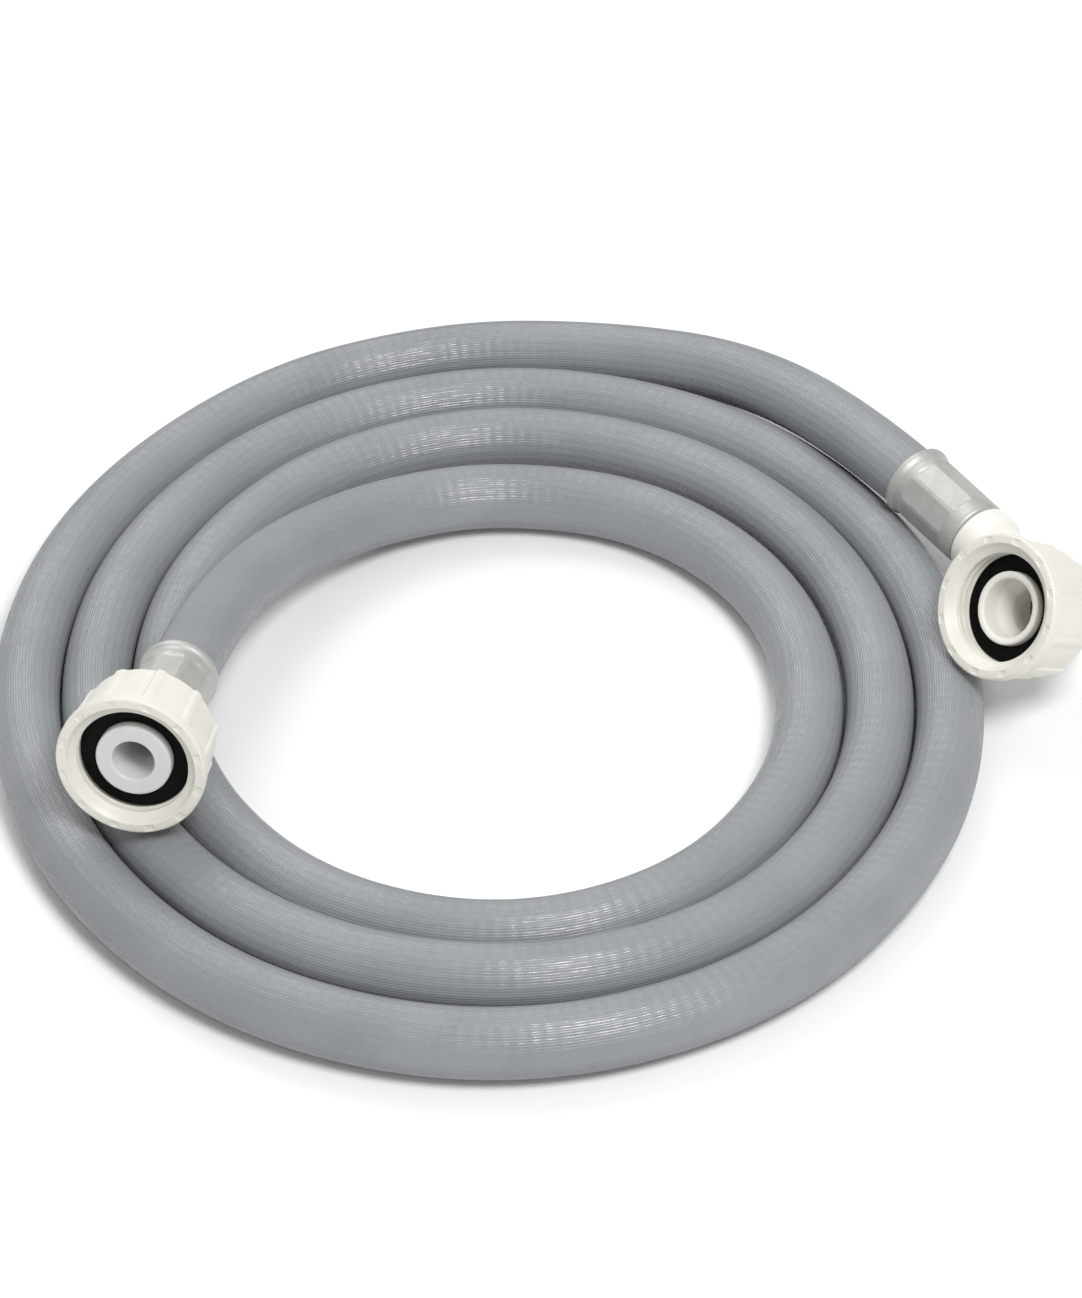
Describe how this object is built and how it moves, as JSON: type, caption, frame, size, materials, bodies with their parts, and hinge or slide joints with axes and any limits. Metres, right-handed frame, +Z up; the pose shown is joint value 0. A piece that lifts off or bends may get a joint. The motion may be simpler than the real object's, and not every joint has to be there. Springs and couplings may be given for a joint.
{
  "type": "water inlet hose",
  "caption": "Coiled flexible fill hose with a straight and an elbow swivel nut, for connecting a tap to a water inlet.",
  "frame": {"origin": "centre of the coil's footprint, on the surface it lies on", "axes": "+Z up, square to the coil; +X towards the elbow end; the straight end's mouth faces roughly -Y"},
  "size_m": [0.2462, 0.2442, 0.0497],
  "materials": {
    "pvc_jacket": "satin ribbed soft PVC",
    "yarn": "white polyester braid",
    "pvc_liner": "smooth soft PVC",
    "nut_plastic": "moulded ivory nylon",
    "tail_plastic": "translucent moulded plastic",
    "elbow_plastic": "moulded ivory nylon",
    "seal_rubber": "matt black rubber",
    "ferrule_metal": "satin crimped metal"
  },
  "bodies": {
    "hose": {"hose_jacket": "pvc_jacket", "hose_braid": "yarn", "hose_liner": "pvc_liner", "straight_tail": "tail_plastic", "straight_ferrule": "ferrule_metal", "elbow_tail": "elbow_plastic", "elbow_ferrule": "ferrule_metal"},
    "straight_washer": {"straight_washer": "seal_rubber"},
    "straight_nut": {"straight_nut": "nut_plastic"},
    "elbow_washer": {"elbow_washer": "seal_rubber"},
    "elbow_nut": {"elbow_nut": "nut_plastic"}
  },
  "joints": [
    {"name": "straight_nut_spin", "type": "hinge", "parent": "hose", "child": "straight_washer", "pos_m": [-0.08744, -0.05927, 0.034], "axis": [-0.1982, -0.9571, 0.2113], "continuous": true},
    {"name": "straight_nut_travel", "type": "slide", "parent": "straight_washer", "child": "straight_nut", "axis": [-0.1982, -0.9571, 0.2113], "range_m": [0, 0.0041]},
    {"name": "elbow_nut_spin", "type": "hinge", "parent": "hose", "child": "elbow_washer", "pos_m": [0.09876, -0.00647, 0.0307], "axis": [-0.6929, -0.4906, 0.5284], "continuous": true},
    {"name": "elbow_nut_travel", "type": "slide", "parent": "elbow_washer", "child": "elbow_nut", "axis": [-0.6929, -0.4906, 0.5284], "range_m": [0, 0.0024]}
  ]
}
